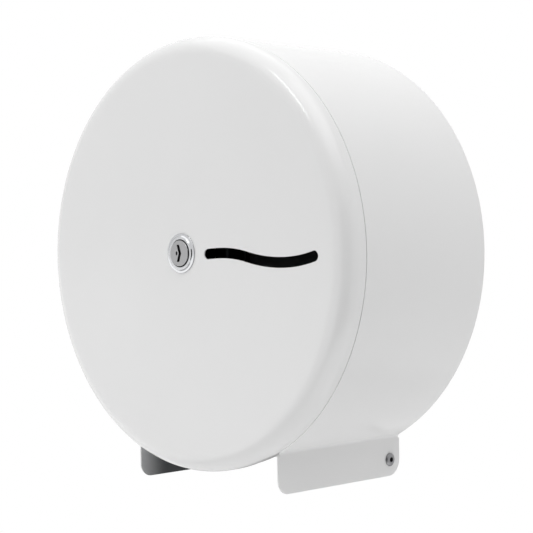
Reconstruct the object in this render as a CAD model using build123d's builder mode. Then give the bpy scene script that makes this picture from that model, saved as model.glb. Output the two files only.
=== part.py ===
from build123d import *
from math import asin, cos, degrees, radians, sqrt
import os

# Jumbo toilet roll dispenser: a round steel cover (a drawn cap welded to a drum band) that swings
# down on two rivets at the foot of a wall plate. A plastic hub turns on the steel spindle and
# carries the roll. A cam lock in the middle of the cap hooks a keeper on the spindle's end.
#
# Frame: millimetres. The wall is the plane Y = 0 and the drum's axis runs along Y through the
# origin. +X is right and +Z is up for someone who faces the dispenser. A depth is a distance
# from the wall towards that person, so a depth of 10 is Y = -10.

# ---------------------------------------------------------------- driving sizes
# cover
drum_radius = 132.5          # outside of the cap and of the band
cover_depth = 125.0          # rear edge of the band to the front face
cap_depth = 16.1             # front face to the seam between cap and band
rim_radius = 12.0            # rounded edge of the cap
cover_sheet = 1.0            # steel sheet of cap and band
seam_gap = 0.6               # groove between the cap's edge and the band's front edge
joggle_length = 0.5          # step that sets the cap's lip inside the band
lip_length = 8.0             # lip of the cap inside the band
lip_clearance = 0.1          # lip to band
outlet_width = 124.0         # across the outsides of the two flaps
flap_bend_radius = 3.0       # outside corner where the band turns down into a flap
flap_front_overhang = 1.3    # flap's front edge in front of the band's front edge
flap_rear_overhang = 1.2     # flap's rear edge behind the band's rear edge
flap_front_corner = 8.5      # rounded lower corners of a flap
flap_rear_corner = 10.5

# hinge
hinge_rise = 0.5             # hinge line above the lowest point of the drum
hinge_from_rear = 8.5        # hinge line in front of the band's rear edge
flap_below_hinge = 10.4      # flap's lower edge under the hinge line
rivet_shank_radius = 2.4
rivet_head_radius = 4.4
rivet_head_height = 1.4
rivet_edge_height = 0.2      # upright edge of the head
rivet_dome_radius = 4.0
rivet_bore_radius = 1.5      # hole that the pulled mandrel leaves in the head
rivet_bore_depth = 3.2
rivet_tail_radius = 3.4
rivet_tail_length = 1.9
rivet_tail_rounding = 0.9
hinge_clearance = 0.05       # rivet shank to flap, all round
hinge_washer_radius = 6.5
hinge_washer_thickness = 0.8
side_clearance = 0.1         # beside each hinge washer and under the rivet's head

# viewing slot
slot_width = 6.2
slot_left_end = 18.1         # from the drum's axis to the slot's left end
slot_right_end = 110.9
crest_x = 33.4               # highest point of the slot's centre line
crest_z = 0.6
crest_to_trough = 49.0       # across, from the crest to the lowest point
wave_left_radius = 150.0     # centre line from the left end to the crest
wave_fall_radius = 88.0      # from the crest down
wave_trough_radius = 117.0   # into the trough
wave_right_radius = 97.0     # from the trough to the right end

# lock
lock_x = -2.0                # lock beside the drum's axis
lock_z = 0.9                 # lock above the drum's axis
flange_radius = 12.0
flange_wall = 0.7            # straight wall round the flange
flange_slope_height = 0.9    # top of the slope that leads up to the raised ring
ring_radius = 10.4           # raised ring round the plug
ring_height = 1.4
ring_rounding = 0.3
barrel_radius = 9.5
barrel_length = 20.0         # behind the front face
barrel_flat = 8.2            # from the lock's axis to each flat of the barrel
hole_clearance = 0.1         # barrel to the hole in the cap
lock_washer_radius = 13.5
lock_washer_thickness = 1.0
lock_nut_across = 24.0
lock_nut_height = 5.0
plug_radius = 7.9
plug_groove = 0.5            # open groove between the plug's head and the raised ring
plug_proud = 2.1             # plug's face in front of the cap
plug_seat_depth = 0.3        # floor of the plug's seat in front of the cap
plug_shaft_radius = 6.0
plug_clearance = 0.06        # plug's shaft to lock body, all round
plug_end_gap = 0.3           # plug's shoulder to the floor of its seat
plug_overhang = 0.6          # plug's shaft behind the barrel
keyway_width = 1.5
keyway_depth = 9.0
keyway_half_height = 4.6
keyway_swing = 1.9           # sideways swing of the keyway's two legs
keyway_notch_radius = 0.8
keyway_notch_x = -1.9        # notch beside the keyway's corner
plug_chamfer = 0.3
cam_square = 7.0             # square end of the plug
cam_thickness = 2.0
cam_hub_radius = 7.0
cam_reach = 19.5             # lock's axis to the tip of the cam
cam_arm_width = 10.0
cam_tip_radius = 3.0
cam_washer_radius = 5.5
cam_washer_thickness = 1.0
cam_screw_radius = 2.0
cam_screw_length = 8.0
cam_screw_head_radius = 4.0
cam_screw_head_height = 2.0
cam_screw_rounding = 0.7

# wall plate
plate_sheet = 1.5
plate_gap = 4.0              # rim of the plate to the inside of the band
plate_rim_depth = 9.0
plate_bend_radius = 3.0
shoulder_height = 19.0       # shoulders of the plate above the band's two bends
shoulder_corner_radius = 6.0  # inside corners between shoulders and tongue
ear_radius = 8.5             # rounded end of a hinge ear
ear_root_height = 22.0       # ear's upper edge above the hinge line, at the plate
ear_bend_radius = 2.5
ear_relief = 1.0             # tongue's sides inside the ears, so that they can be folded
lug_width = 26.0             # stop lug at the top, behind the band's rear edge
buffer_length = 20.0
buffer_width = 5.0
buffer_height = 1.8
buffer_corner_radius = 1.0
buffer_gap = 0.2             # closed cover to the rubber buffer
screw_hole_radius = 3.25     # four wall screws
screw_spacing_x = 120.0
screw_spacing_z = 110.0

# spindle and keeper
spindle_radius = 18.0
spindle_wall = 1.5
spindle_flange_radius = 36.0
spindle_flange_thickness = 2.0
spindle_flange_rounding = 0.5
spindle_rivet_spacing = 42.0  # four rivets on a square
spindle_rivet_radius = 2.0
spindle_rivet_head_radius = 3.4
spindle_rivet_head_height = 1.2
spindle_rivet_rounding = 0.6
weld_gap = 0.05              # end plate to the inside of the tube
end_plate_thickness = 2.0
retainer_radius = 23.0
retainer_thickness = 1.5
retainer_rounding = 0.5
keeper_sheet = 2.0
keeper_bend_radius = 3.0
keeper_height = 12.4         # retainer to the front of the tab
keeper_corner_radius = 4.5
keeper_width = 30.0          # base of the keeper, up and down
keeper_tab_width = 16.0
keeper_left = 9.0            # base's edge to the left of the axis
keeper_clear_cam = 1.5       # cam's tip to the leg of the keeper
keeper_clear_barrel = 2.0    # barrel to the edge of the tab
keeper_clear_face = 1.0      # cam to the rear of the tab
keeper_screw_offset = 11.0   # screws above and below the spindle's axis
keeper_screw_radius = 2.0
keeper_screw_head_radius = 3.5
keeper_screw_head_height = 2.2
keeper_screw_rounding = 0.7
keeper_screw_socket_across = 2.5
keeper_screw_socket_depth = 1.1
clinch_nut_across = 7.0
clinch_nut_height = 3.2
screw_clearance = 0.15       # screws and fixed rivets in their holes
pick_tolerance = 0.01        # for edges that are picked by their place

# hub
hub_radius = 28.0
hub_rear_depth = 5.9         # depth of the hub's rear end
hub_end_gap = 0.3            # hub to the retainer in front of it
hub_bore_clearance = 0.08    # hub on the spindle
hub_inner_wall = 2.5
hub_outer_wall = 2.5
hub_flange_radius = 36.0
hub_flange_thickness = 2.5
hub_rib_thickness = 2.0
hub_rib_count = 6
hub_rib_setback = 3.0        # ribs behind the hub's front end
hub_groove_width = 3.0
hub_groove_depth = 0.8
hub_edge_radius = 1.0        # lead-in for the roll's core
thrust_washer_radius = 25.0
thrust_washer_thickness = 2.0

# ---------------------------------------------------------------- places worked out from them
band_rear = plate_sheet + buffer_height + buffer_gap
front_face = band_rear + cover_depth
cap_edge = front_face - cap_depth
band_front = cap_edge - seam_gap
cap_back = front_face - cover_sheet
band_inner_radius = drum_radius - cover_sheet
lip_radius = band_inner_radius - lip_clearance

flap_outside = outlet_width / 2
flap_inside = flap_outside - cover_sheet
flap_front = band_front + flap_front_overhang
flap_rear = band_rear - flap_rear_overhang
hinge_depth = band_rear + hinge_from_rear
hinge_z = hinge_rise - drum_radius
flap_bottom = hinge_z - flap_below_hinge
bend_x = flap_outside + flap_bend_radius
bend_z = -sqrt((drum_radius + flap_bend_radius) ** 2 - bend_x ** 2)

ear_outside = flap_inside - 2 * side_clearance - hinge_washer_thickness
ear_inside = ear_outside - plate_sheet
plate_radius = band_inner_radius - plate_gap
shoulder_z = bend_z + shoulder_height
tongue_height = shoulder_z - hinge_z + ear_radius

barrel_rear = front_face - barrel_length
cam_front = barrel_rear - plug_overhang
cam_rear = cam_front - cam_thickness
cam_screw_seat = cam_rear - cam_washer_thickness
nut_front = cap_back - lock_washer_thickness

keeper_tab_rear = cam_front + keeper_clear_face
keeper_tab_front = keeper_tab_rear + keeper_sheet
retainer_front = keeper_tab_front - keeper_height
keeper_base_front = retainer_front + keeper_sheet
spindle_front = retainer_front - retainer_thickness
end_plate_rear = spindle_front - end_plate_thickness
clinch_nut_rear = end_plate_rear - clinch_nut_height
keeper_right = lock_x + cam_reach + keeper_clear_cam + keeper_sheet
keeper_tab_left = lock_x + barrel_radius + keeper_clear_barrel

hub_front_depth = spindle_front - hub_end_gap
hub_bore_radius = spindle_radius + hub_bore_clearance
spindle_seat = plate_sheet + spindle_flange_thickness

# Section planes: local x is the depth and local y is the height over the axis they start on.
drum_section = Plane(origin=(0, 0, 0), x_dir=(0, -1, 0), z_dir=(-1, 0, 0))
lock_section = Plane(origin=(lock_x, 0, lock_z), x_dir=(0, -1, 0), z_dir=(-1, 0, 0))
drum_axis = Axis((0, 0, 0), (0, -1, 0))
lock_axis = Axis((lock_x, 0, lock_z), (0, -1, 0))


def facing(depth, x=0.0, z=0.0):
    """Plane parallel to the wall at a depth, facing the user, with X right and Z up."""
    return Plane(origin=(x, -depth, z), x_dir=(1, 0, 0), z_dir=(0, -1, 0))


def across(x, side=1):
    """Plane square to X at x, facing outwards on one side, through the hinge line."""
    return Plane(origin=(x * side, -hinge_depth, hinge_z), x_dir=(0, side, 0), z_dir=(side, 0, 0))


os.makedirs("parts", exist_ok=True)

# ---------------------------------------------------------------- front cap
# A disc drawn to a dish: flat face, rounded rim, short skirt, then a joggled lip that goes
# inside the band. The outer line of the section is drawn and then thickened inwards.
trough_x = crest_x + crest_to_trough
fall_radii = wave_fall_radius + wave_trough_radius
fall_angle = degrees(asin(crest_to_trough / fall_radii))
trough_z = crest_z - fall_radii * (1 - cos(radians(fall_angle)))
left_angle = degrees(asin((crest_x - slot_left_end - slot_width / 2) / wave_left_radius))
right_angle = degrees(asin((slot_right_end - slot_width / 2 - trough_x) / wave_right_radius))

# centre line of the viewing slot: four arcs, level at the crest and at the trough
with BuildLine() as wave:
    CenterArc((crest_x, crest_z - wave_left_radius), wave_left_radius, 90 + left_angle, -left_angle)
    CenterArc((crest_x, crest_z - wave_fall_radius), wave_fall_radius, 90, -fall_angle)
    CenterArc((trough_x, trough_z + wave_trough_radius), wave_trough_radius, 270 - fall_angle, fall_angle)
    CenterArc((trough_x, trough_z + wave_right_radius), wave_right_radius, 270, right_angle)

with BuildPart() as front_cap:
    with BuildSketch(drum_section):
        with BuildLine():
            face_line = Line((front_face, 0), (front_face, drum_radius - rim_radius))
            rim_line = JernArc(face_line @ 1, (0, 1), rim_radius, 90)
            skirt_line = Line(rim_line @ 1, (cap_edge, drum_radius))
            joggle_line = Line(skirt_line @ 1, (cap_edge - joggle_length, lip_radius))
            Line(joggle_line @ 1, (cap_edge - joggle_length - lip_length, lip_radius))
            offset(amount=cover_sheet, side=Side.LEFT)
        make_face()
    revolve(axis=drum_axis)
    # wavy viewing slot
    with BuildSketch(facing(cap_back)):
        SlotArc(wave.wires()[0], slot_width)
    extrude(amount=cover_sheet, mode=Mode.SUBTRACT)
    # round hole with two flats, so that the lock can't turn
    with BuildSketch(facing(cap_back, lock_x, lock_z)):
        Circle(barrel_radius + hole_clearance)
        Rectangle(2 * (barrel_flat + hole_clearance), 2 * flange_radius, mode=Mode.INTERSECT)
    extrude(amount=cover_sheet, mode=Mode.SUBTRACT)
front_cap.part.label = "front_cap"
export_step(front_cap.part, "parts/front_cap.step")

# ---------------------------------------------------------------- drum band with its two flaps
# One strip: up the right flap, out round the drum and down the left flap. The outer line is
# drawn and thickened inwards.
bend_angle = degrees(asin(bend_x / (drum_radius + flap_bend_radius)))

with BuildPart() as drum_band:
    with BuildSketch(facing(band_rear)):
        with BuildLine():
            Line((flap_outside, flap_bottom), (flap_outside, bend_z))
            CenterArc((bend_x, bend_z), flap_bend_radius, 180, bend_angle - 90)
            CenterArc((0, 0), drum_radius, bend_angle - 90, 360 - 2 * bend_angle)
            CenterArc((-bend_x, bend_z), flap_bend_radius, 90 - bend_angle, bend_angle - 90)
            Line((-flap_outside, bend_z), (-flap_outside, flap_bottom))
            offset(amount=cover_sheet, side=Side.LEFT)
        make_face()
    extrude(amount=band_front - band_rear)
    # the strip's two ends are a little wider than the drum, at the front and at the rear
    with BuildSketch(facing(flap_rear)):
        for side in (1, -1):
            with Locations((side * (flap_outside - cover_sheet / 2), flap_bottom)):
                Rectangle(cover_sheet, bend_z - flap_bottom, align=(Align.CENTER, Align.MIN))
    extrude(amount=flap_front - flap_rear)
    # rounded lower corners of both flaps
    lower_corners = drum_band.edges().filter_by(Axis.X).group_by(Axis.Z)[0].group_by(Axis.Y)
    fillet(lower_corners[0], flap_front_corner)
    fillet(lower_corners[-1], flap_rear_corner)
    # rivet holes near the rear lower corners
    with BuildSketch(across(0)):
        Circle(rivet_shank_radius + hinge_clearance)
    extrude(amount=2 * flap_outside, both=True, mode=Mode.SUBTRACT)
drum_band.part.label = "drum_band"
export_step(drum_band.part, "parts/drum_band.step")

# ---------------------------------------------------------------- wall plate
# A shallow pressed dish inside the band. Below its two shoulders it narrows to a tongue whose
# sides are folded forwards as the hinge ears. A flat lug at the top stands out behind the band.
with BuildPart() as back_plate:
    with BuildSketch(drum_section):
        with BuildLine():
            back_line = Line((0, 0), (0, plate_radius - plate_bend_radius))
            plate_bend = JernArc(back_line @ 1, (0, 1), plate_bend_radius, -90)
            Line(plate_bend @ 1, (plate_rim_depth, plate_radius))
            offset(amount=plate_sheet, side=Side.RIGHT)
        make_face()
    revolve(axis=drum_axis)
    # trim below the shoulders
    with BuildSketch(facing(0)):
        with Locations((0, shoulder_z)):
            Rectangle(2 * plate_radius, plate_radius, align=(Align.CENTER, Align.MAX))
    extrude(amount=plate_rim_depth, mode=Mode.SUBTRACT)
    # notch in the rim, and the stop lug that passes through it
    with BuildSketch(facing(plate_sheet)):
        with Locations((0, plate_radius - 2 * plate_bend_radius)):
            Rectangle(lug_width + 2 * plate_bend_radius, drum_radius, align=(Align.CENTER, Align.MIN))
    extrude(amount=plate_rim_depth, mode=Mode.SUBTRACT)
    with BuildSketch(facing(0)):
        with Locations((0, plate_radius - 2 * plate_bend_radius)):
            Rectangle(lug_width, drum_radius, align=(Align.CENTER, Align.MIN))
        Circle(drum_radius, mode=Mode.INTERSECT)
    extrude(amount=plate_sheet)
    # tongue down to the hinge, widest where the ears are folded from it
    with BuildSketch(facing(0)):
        with Locations((0, hinge_z - ear_radius)):
            Rectangle(2 * (ear_inside - ear_relief), tongue_height, align=(Align.CENTER, Align.MIN))
            Rectangle(2 * ear_outside, ear_radius + ear_root_height, align=(Align.CENTER, Align.MIN))
    extrude(amount=plate_sheet)
    inside_corners = back_plate.edges().filter_by(Axis.Y).filter_by(
        lambda edge: abs(edge.center().Z - shoulder_z) < plate_sheet and abs(edge.center().X) < ear_outside
    )
    fillet(inside_corners, shoulder_corner_radius)
    # hinge ears, folded forwards at the tongue's sides
    for side in (1, -1):
        with BuildSketch(across(ear_inside, side)):
            with BuildLine():
                Polyline(
                    (hinge_depth * side, -ear_radius),
                    (0, -ear_radius),
                    (0, ear_radius),
                    (hinge_depth * side, ear_root_height),
                    close=True,
                )
            make_face()
            Circle(ear_radius)
        extrude(amount=plate_sheet)
    inside_bends = back_plate.edges().filter_by(Axis.Z).filter_by(
        lambda edge: abs(abs(edge.center().X) - ear_inside) < pick_tolerance
    )
    fillet(inside_bends, ear_bend_radius - plate_sheet)
    outside_bends = back_plate.edges().filter_by(Axis.Z).group_by(Axis.Y)[-1].filter_by(
        lambda edge: abs(edge.center().X) > ear_outside - pick_tolerance
    )
    fillet(outside_bends, ear_bend_radius)
    with BuildSketch(across(0)):
        Circle(rivet_shank_radius + screw_clearance)
    extrude(amount=2 * flap_outside, both=True, mode=Mode.SUBTRACT)
    # holes for the wall screws
    with BuildSketch(facing(0)):
        with GridLocations(screw_spacing_x, screw_spacing_z, 2, 2):
            Circle(screw_hole_radius)
        with GridLocations(spindle_rivet_spacing, spindle_rivet_spacing, 2, 2):
            Circle(spindle_rivet_radius + screw_clearance)
    extrude(amount=plate_sheet, mode=Mode.SUBTRACT)
back_plate.part.label = "back_plate"
export_step(back_plate.part, "parts/back_plate.step")

# rubber buffer on the lug, under the band's rear edge
with BuildPart() as cover_buffer:
    with BuildSketch(facing(plate_sheet)) as buffer_outline:
        with Locations((0, drum_radius - buffer_width)):
            Rectangle(buffer_length, 2 * buffer_width, align=(Align.CENTER, Align.MIN))
        Circle(drum_radius, mode=Mode.INTERSECT)
        fillet(buffer_outline.vertices(), buffer_corner_radius)
    extrude(amount=buffer_height)
cover_buffer.part.label = "cover_buffer"
export_step(cover_buffer.part, "parts/cover_buffer.step")

# ---------------------------------------------------------------- hinge rivets and washers
# Blind rivets: a low domed head outside with the mandrel's hole in it, a shank through flap,
# washer and ear, and a bulged tail inside.
head_seat = flap_outside + side_clearance
head_top = head_seat + rivet_head_height
head_edge = head_seat + rivet_edge_height
tail_end = ear_inside - rivet_tail_length
rivet_axis = Axis((0, -hinge_depth, hinge_z), (1, 0, 0))

with BuildPart() as hinge_rivets:
    for side in (1, -1):
        rivet_plane = Plane(origin=(0, -hinge_depth, hinge_z), x_dir=(side, 0, 0), z_dir=(0, -side, 0))
        with BuildSketch(rivet_plane):
            with BuildLine():
                Polyline(
                    (tail_end, 0),
                    (head_top - rivet_bore_depth, 0),
                    (head_top - rivet_bore_depth, rivet_bore_radius),
                    (head_top, rivet_bore_radius),
                )
                RadiusArc((head_top, rivet_bore_radius), (head_edge, rivet_head_radius), rivet_dome_radius)
                Polyline(
                    (head_edge, rivet_head_radius),
                    (head_seat, rivet_head_radius),
                    (head_seat, rivet_shank_radius),
                    (ear_inside, rivet_shank_radius),
                    (ear_inside, rivet_tail_radius),
                    (tail_end, rivet_tail_radius),
                    (tail_end, 0),
                )
            make_face()
        revolve(axis=rivet_axis)
    tail_edges = hinge_rivets.edges().filter_by(
        lambda edge: abs(abs(edge.center().X) - tail_end) < pick_tolerance
    )
    fillet(tail_edges, rivet_tail_rounding)
hinge_rivets.part.label = "hinge_rivets"
export_step(hinge_rivets.part, "parts/hinge_rivets.step")

with BuildPart() as hinge_washers:
    for side in (1, -1):
        with BuildSketch(across(ear_outside + side_clearance, side)):
            Circle(hinge_washer_radius)
            Circle(rivet_shank_radius + screw_clearance, mode=Mode.SUBTRACT)
        extrude(amount=hinge_washer_thickness)
hinge_washers.part.label = "hinge_washers"
export_step(hinge_washers.part, "parts/hinge_washers.step")

# ---------------------------------------------------------------- spindle
# A round flange riveted to the plate, a tube welded to it, and a plate that closes the tube.
with BuildPart() as spindle_flange:
    with BuildSketch(facing(plate_sheet)):
        Circle(spindle_flange_radius)
        with GridLocations(spindle_rivet_spacing, spindle_rivet_spacing, 2, 2):
            Circle(spindle_rivet_radius + screw_clearance, mode=Mode.SUBTRACT)
    extrude(amount=spindle_flange_thickness)
    front_edges = spindle_flange.edges().group_by(Axis.Y)[0].sort_by(SortBy.RADIUS)
    fillet(front_edges[-1], spindle_flange_rounding)
spindle_flange.part.label = "spindle_flange"
export_step(spindle_flange.part, "parts/spindle_flange.step")

with BuildPart() as spindle_rivets:
    with BuildSketch(facing(0)):
        with GridLocations(spindle_rivet_spacing, spindle_rivet_spacing, 2, 2):
            Circle(spindle_rivet_radius)
    extrude(amount=spindle_seat)
    with BuildSketch(facing(spindle_seat)):
        with GridLocations(spindle_rivet_spacing, spindle_rivet_spacing, 2, 2):
            Circle(spindle_rivet_head_radius)
    extrude(amount=spindle_rivet_head_height)
    fillet(spindle_rivets.edges().group_by(Axis.Y)[0], spindle_rivet_rounding)
spindle_rivets.part.label = "spindle_rivets"
export_step(spindle_rivets.part, "parts/spindle_rivets.step")

with BuildPart() as spindle_tube:
    with BuildSketch(facing(spindle_seat)):
        Circle(spindle_radius)
        Circle(spindle_radius - spindle_wall, mode=Mode.SUBTRACT)
    extrude(amount=spindle_front - spindle_seat)
spindle_tube.part.label = "spindle_tube"
export_step(spindle_tube.part, "parts/spindle_tube.step")

with BuildPart() as spindle_end_plate:
    with BuildSketch(facing(end_plate_rear)):
        Circle(spindle_radius - spindle_wall - weld_gap)
        with GridLocations(0, 2 * keeper_screw_offset, 1, 2):
            Circle(keeper_screw_radius + screw_clearance, mode=Mode.SUBTRACT)
    extrude(amount=end_plate_thickness)
spindle_end_plate.part.label = "spindle_end_plate"
export_step(spindle_end_plate.part, "parts/spindle_end_plate.step")

with BuildPart() as clinch_nuts:
    with BuildSketch(facing(clinch_nut_rear)):
        with GridLocations(0, 2 * keeper_screw_offset, 1, 2):
            RegularPolygon(clinch_nut_across / 2, 6, major_radius=False)
            Circle(keeper_screw_radius + screw_clearance, mode=Mode.SUBTRACT)
    extrude(amount=clinch_nut_height)
clinch_nuts.part.label = "clinch_nuts"
export_step(clinch_nuts.part, "parts/clinch_nuts.step")

# ---------------------------------------------------------------- keeper for the lock
# The retainer is a steel disc that keeps the hub on. The keeper is a hook bent from strip: base
# on the retainer, leg beside the cam's path, tab in front of the cam when the lock is turned.
with BuildPart() as retainer_disc:
    with BuildSketch(facing(spindle_front)):
        Circle(retainer_radius)
        with GridLocations(0, 2 * keeper_screw_offset, 1, 2):
            Circle(keeper_screw_radius + screw_clearance, mode=Mode.SUBTRACT)
    extrude(amount=retainer_thickness)
    front_edges = retainer_disc.edges().group_by(Axis.Y)[0].sort_by(SortBy.RADIUS)
    fillet(front_edges[-1], retainer_rounding)
retainer_disc.part.label = "retainer_disc"
export_step(retainer_disc.part, "parts/retainer_disc.step")

keeper_inside = keeper_bend_radius - keeper_sheet
with BuildPart() as keeper_bracket:
    with BuildSketch(Plane.XY):
        with BuildLine():
            FilletPolyline(
                (-keeper_left, -retainer_front),
                (keeper_right, -retainer_front),
                (keeper_right, -keeper_tab_front),
                (keeper_tab_left, -keeper_tab_front),
                radius=keeper_bend_radius,
            )
            offset(amount=keeper_sheet, side=Side.RIGHT)
        make_face()
    extrude(amount=keeper_width / 2, both=True)
    # leg and tab are narrower than the base
    with BuildSketch(facing(keeper_base_front + keeper_inside)):
        Rectangle(2 * keeper_right, keeper_width)
        Rectangle(2 * keeper_right, keeper_tab_width, mode=Mode.SUBTRACT)
    extrude(amount=keeper_tab_front, mode=Mode.SUBTRACT)
    # rounded corners on the base's left side
    fillet(keeper_bracket.edges().filter_by(Axis.Y).group_by(Axis.X)[0], keeper_corner_radius)
    with BuildSketch(facing(retainer_front)):
        with GridLocations(0, 2 * keeper_screw_offset, 1, 2):
            Circle(keeper_screw_radius + screw_clearance)
    extrude(amount=keeper_sheet, mode=Mode.SUBTRACT)
keeper_bracket.part.label = "keeper_bracket"
export_step(keeper_bracket.part, "parts/keeper_bracket.step")

with BuildPart() as keeper_screws:
    with BuildSketch(facing(clinch_nut_rear)):
        with GridLocations(0, 2 * keeper_screw_offset, 1, 2):
            Circle(keeper_screw_radius)
    extrude(amount=keeper_base_front - clinch_nut_rear)
    with BuildSketch(facing(keeper_base_front)):
        with GridLocations(0, 2 * keeper_screw_offset, 1, 2):
            Circle(keeper_screw_head_radius)
    extrude(amount=keeper_screw_head_height)
    fillet(keeper_screws.edges().group_by(Axis.Y)[0], keeper_screw_rounding)
    # hexagon sockets
    with BuildSketch(facing(keeper_base_front + keeper_screw_head_height - keeper_screw_socket_depth)):
        with GridLocations(0, 2 * keeper_screw_offset, 1, 2):
            RegularPolygon(keeper_screw_socket_across / 2, 6, major_radius=False)
    extrude(amount=keeper_screw_socket_depth, mode=Mode.SUBTRACT)
keeper_screws.part.label = "keeper_screws"
export_step(keeper_screws.part, "parts/keeper_screws.step")

# ---------------------------------------------------------------- hub that carries the roll
with BuildPart() as roll_hub:
    # rear web with its flange
    with BuildSketch(facing(hub_rear_depth)):
        Circle(hub_flange_radius)
        Circle(hub_bore_radius, mode=Mode.SUBTRACT)
    extrude(amount=hub_flange_thickness)
    # inner sleeve on the spindle and outer sleeve in the roll's core
    with BuildSketch(facing(hub_rear_depth)):
        Circle(hub_radius)
        Circle(hub_radius - hub_outer_wall, mode=Mode.SUBTRACT)
        Circle(hub_bore_radius + hub_inner_wall)
        Circle(hub_bore_radius, mode=Mode.SUBTRACT)
    extrude(amount=hub_front_depth - hub_rear_depth)
    front_edges = roll_hub.edges().group_by(Axis.Y)[0].sort_by(SortBy.RADIUS)
    chamfer(front_edges[-1], hub_edge_radius)
    # ribs between the sleeves
    with BuildSketch(facing(hub_rear_depth)):
        with PolarLocations((hub_radius + hub_bore_radius) / 2, hub_rib_count):
            Rectangle(hub_radius - hub_bore_radius - hub_inner_wall, hub_rib_thickness)
    extrude(amount=hub_front_depth - hub_rib_setback - hub_rear_depth)
    # grip grooves along the outside, from the flange to the front
    with BuildSketch(facing(hub_rear_depth + hub_flange_thickness)):
        with PolarLocations(hub_radius, hub_rib_count, start_angle=180 / hub_rib_count):
            Rectangle(2 * hub_groove_depth, hub_groove_width)
    extrude(amount=hub_front_depth, mode=Mode.SUBTRACT)
roll_hub.part.label = "roll_hub"
export_step(roll_hub.part, "parts/roll_hub.step")

with BuildPart() as thrust_washer:
    with BuildSketch(facing(spindle_seat)):
        Circle(thrust_washer_radius)
        Circle(hub_bore_radius, mode=Mode.SUBTRACT)
    extrude(amount=thrust_washer_thickness)
thrust_washer.part.label = "thrust_washer"
export_step(thrust_washer.part, "parts/thrust_washer.step")

# ---------------------------------------------------------------- lock body, washer and nut
plug_face = front_face + plug_proud
plug_seat = front_face + plug_seat_depth
plug_shoulder = plug_seat + plug_end_gap

with BuildPart() as lock_body:
    with BuildSketch(facing(barrel_rear, lock_x, lock_z)):
        Circle(barrel_radius)
        Rectangle(2 * barrel_flat, 2 * flange_radius, mode=Mode.INTERSECT)
    extrude(amount=barrel_length)
    # flange on the cap, with a raised ring round the plug
    with BuildSketch(lock_section):
        with BuildLine():
            Polyline(
                (front_face, 0),
                (front_face, flange_radius),
                (front_face + flange_wall, flange_radius),
                (front_face + flange_slope_height, ring_radius),
                (front_face + ring_height, ring_radius),
                (front_face + ring_height, 0),
                close=True,
            )
        make_face()
    revolve(axis=lock_axis)
    fillet(lock_body.edges().group_by(Axis.Y)[0], ring_rounding)
    # seat and bore of the plug
    with BuildSketch(facing(plug_seat, lock_x, lock_z)):
        Circle(plug_radius + plug_groove)
    extrude(amount=plug_proud, mode=Mode.SUBTRACT)
    with BuildSketch(facing(barrel_rear, lock_x, lock_z)):
        Circle(plug_shaft_radius + plug_clearance)
    extrude(amount=barrel_length + plug_proud, mode=Mode.SUBTRACT)
lock_body.part.label = "lock_body"
export_step(lock_body.part, "parts/lock_body.step")

with BuildPart() as lock_washer:
    with BuildSketch(facing(nut_front, lock_x, lock_z)):
        Circle(lock_washer_radius)
        Circle(barrel_radius + hole_clearance, mode=Mode.SUBTRACT)
    extrude(amount=lock_washer_thickness)
lock_washer.part.label = "lock_washer"
export_step(lock_washer.part, "parts/lock_washer.step")

with BuildPart() as lock_nut:
    with BuildSketch(facing(nut_front - lock_nut_height, lock_x, lock_z)):
        RegularPolygon(lock_nut_across / 2, 6, major_radius=False)
        Circle(barrel_radius + hole_clearance / 2, mode=Mode.SUBTRACT)
    extrude(amount=lock_nut_height)
lock_nut.part.label = "lock_nut"
export_step(lock_nut.part, "parts/lock_nut.step")

# ---------------------------------------------------------------- plug, cam and their screw
with BuildPart() as lock_plug:
    with BuildSketch(lock_section):
        with BuildLine():
            Polyline(
                (cam_front, 0),
                (cam_front, plug_shaft_radius),
                (plug_shoulder, plug_shaft_radius),
                (plug_shoulder, plug_radius),
                (plug_face, plug_radius),
                (plug_face, 0),
                close=True,
            )
        make_face()
    revolve(axis=lock_axis)
    chamfer(lock_plug.edges().group_by(Axis.Y)[0], plug_chamfer)
    # square end that drives the cam
    with BuildSketch(facing(cam_rear + screw_clearance, lock_x, lock_z)):
        Rectangle(cam_square, cam_square)
    extrude(amount=cam_thickness - screw_clearance)
    with BuildSketch(facing(cam_rear, lock_x, lock_z)):
        Circle(cam_screw_radius + screw_clearance)
    extrude(amount=cam_screw_length, mode=Mode.SUBTRACT)
    # keyway: two leaning legs with a round notch beside their corner
    with BuildSketch(facing(plug_face - keyway_depth, lock_x, lock_z)):
        with BuildLine():
            Polyline(
                (-keyway_swing / 2, keyway_half_height),
                (keyway_swing / 2, 0),
                (-keyway_swing / 2, -keyway_half_height),
            )
        trace(line_width=keyway_width)
        with Locations((keyway_notch_x, 0)):
            Circle(keyway_notch_radius)
            Rectangle(-keyway_notch_x, keyway_notch_radius, align=(Align.MIN, Align.CENTER))
    extrude(amount=keyway_depth, mode=Mode.SUBTRACT)
lock_plug.part.label = "lock_plug"
export_step(lock_plug.part, "parts/lock_plug.step")

with BuildPart() as lock_cam:
    with BuildSketch(facing(cam_rear, lock_x, lock_z)) as cam_outline:
        Circle(cam_hub_radius)
        with Locations((0, cam_reach / 2)):
            Rectangle(cam_arm_width, cam_reach)
        fillet(cam_outline.vertices().group_by(Axis.Y)[-1], cam_tip_radius)
        Rectangle(cam_square + 2 * screw_clearance, cam_square + 2 * screw_clearance, mode=Mode.SUBTRACT)
    extrude(amount=cam_thickness)
lock_cam.part.label = "lock_cam"
export_step(lock_cam.part, "parts/lock_cam.step")

with BuildPart() as cam_washer:
    with BuildSketch(facing(cam_screw_seat, lock_x, lock_z)):
        Circle(cam_washer_radius)
        Circle(cam_screw_radius + screw_clearance, mode=Mode.SUBTRACT)
    extrude(amount=cam_washer_thickness)
cam_washer.part.label = "cam_washer"
export_step(cam_washer.part, "parts/cam_washer.step")

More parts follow.
